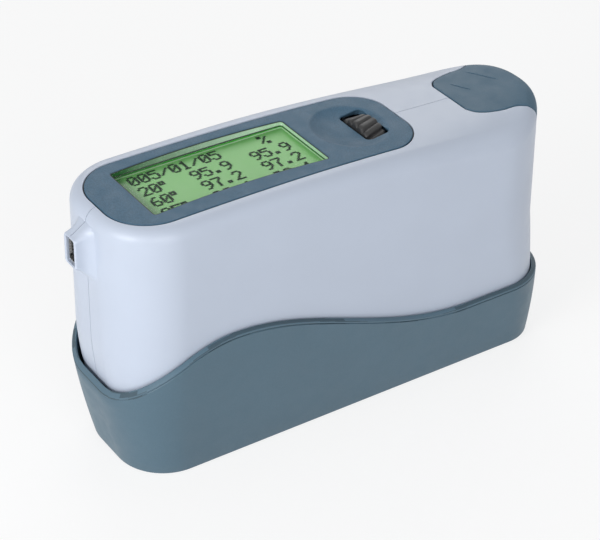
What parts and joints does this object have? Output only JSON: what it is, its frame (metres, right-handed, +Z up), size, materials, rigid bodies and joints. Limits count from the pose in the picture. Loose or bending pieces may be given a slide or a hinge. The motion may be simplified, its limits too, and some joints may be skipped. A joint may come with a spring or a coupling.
{
  "type": "gloss meter",
  "caption": "Handheld gloss meter standing in its calibration holder, with a display window, a jog wheel in a dish, a curved operate button and a data socket",
  "frame": {"origin": "on the underside of the holder, below the middle of the measuring aperture", "axes": "+Z up; the long side runs along X with the operate button at +X and the data socket at -X; the front is -Y"},
  "size_m": [0.1651, 0.052, 0.0887],
  "materials": {
    "pale_housing": "satin moulded plastic, pale blue grey",
    "slate_panel": "fine grained matte plastic",
    "slate_button": "matte plastic",
    "slate_holder": "satin moulded plastic",
    "clear_window": "clear plastic window",
    "green_display": "liquid crystal cell on a green ground",
    "green_backlight": "light guide",
    "black_plastic": "moulded, black",
    "wheel_rubber": "ribbed, matte black",
    "green_board": "coated glass fibre board",
    "bright_steel": "plated",
    "spring_brass": "spring brass",
    "base_metal": "milled and anodised",
    "black_glass": "polished black glass",
    "lens_glass": "polished",
    "mirror_glass": "silvered",
    "cell_wrap": "plain shrink wrap",
    "chip_case": "moulded case",
    "lamp_holder": "moulded, dark grey",
    "sensor_holder": "moulded, black"
  },
  "bodies": {
    "holder": {"holder_shell": "slate_holder", "tile_cradle": "black_plastic", "calibration_tile": "black_glass", "cradle_screw_1": "bright_steel", "cradle_screw_2": "bright_steel"},
    "meter": {"front_housing": "pale_housing", "rear_housing": "pale_housing", "housing_screw_1": "bright_steel", "housing_screw_2": "bright_steel", "housing_screw_3": "bright_steel", "housing_screw_4": "bright_steel", "top_panel": "slate_panel", "display_window": "clear_window", "lcd_cell": "green_display", "backlight": "green_backlight", "display_frame": "black_plastic", "display_board": "green_board", "display_screw_1": "bright_steel", "display_screw_2": "bright_steel", "chassis": "black_plastic", "wheel_board": "green_board", "click_switch": "black_plastic", "button_guide": "black_plastic", "return_spring": "bright_steel", "measure_switch": "black_plastic", "data_socket": "bright_steel", "socket_board": "green_board", "optics_block": "black_plastic", "lamp_20": "lamp_holder", "lamp_60": "lamp_holder", "lamp_85": "lamp_holder", "sensor_20": "sensor_holder", "sensor_60": "sensor_holder", "sensor_85": "sensor_holder", "lamp_lens_20": "lens_glass", "lamp_lens_60": "lens_glass", "lamp_lens_85": "lens_glass", "sensor_lens_20": "lens_glass", "sensor_lens_60": "lens_glass", "sensor_lens_85": "lens_glass", "fold_mirror_1": "mirror_glass", "fold_mirror_2": "mirror_glass", "main_board": "green_board", "board_screw_1": "bright_steel", "board_screw_2": "bright_steel", "battery_tube": "black_plastic", "battery_cell": "cell_wrap", "contact_plate": "spring_brass", "contact_spring": "spring_brass", "battery_cover": "base_metal", "base_plate": "base_metal", "base_screw_1": "bright_steel", "base_screw_2": "bright_steel", "base_screw_3": "bright_steel", "base_screw_4": "bright_steel"},
    "button": {"operate_button": "slate_button"},
    "wheel_carrier": {"wheel_fork": "black_plastic", "wheel_encoder": "chip_case"},
    "wheel": {"jog_wheel": "wheel_rubber", "wheel_axle": "bright_steel"}
  },
  "joints": [
    {"name": "meter_lift", "type": "slide", "parent": "holder", "child": "meter", "axis": [0, 0, 1], "range_m": [0, 0.04]},
    {"name": "button_press", "type": "slide", "parent": "meter", "child": "button", "axis": [0, 0, -1], "range_m": [0, 0.0006], "stiffness_N_per_m": 400, "springref_m": -0.001, "deforming": ["return_spring"]},
    {"name": "wheel_press", "type": "slide", "parent": "meter", "child": "wheel_carrier", "axis": [0, 0, -1], "range_m": [0, 0.0004], "stiffness_N_per_m": 600, "springref_m": -0.001},
    {"name": "wheel_turn", "type": "hinge", "parent": "wheel_carrier", "child": "wheel", "pos_m": [0.0195, 0, 0.07754], "axis": [1, 0, 0], "continuous": true}
  ]
}
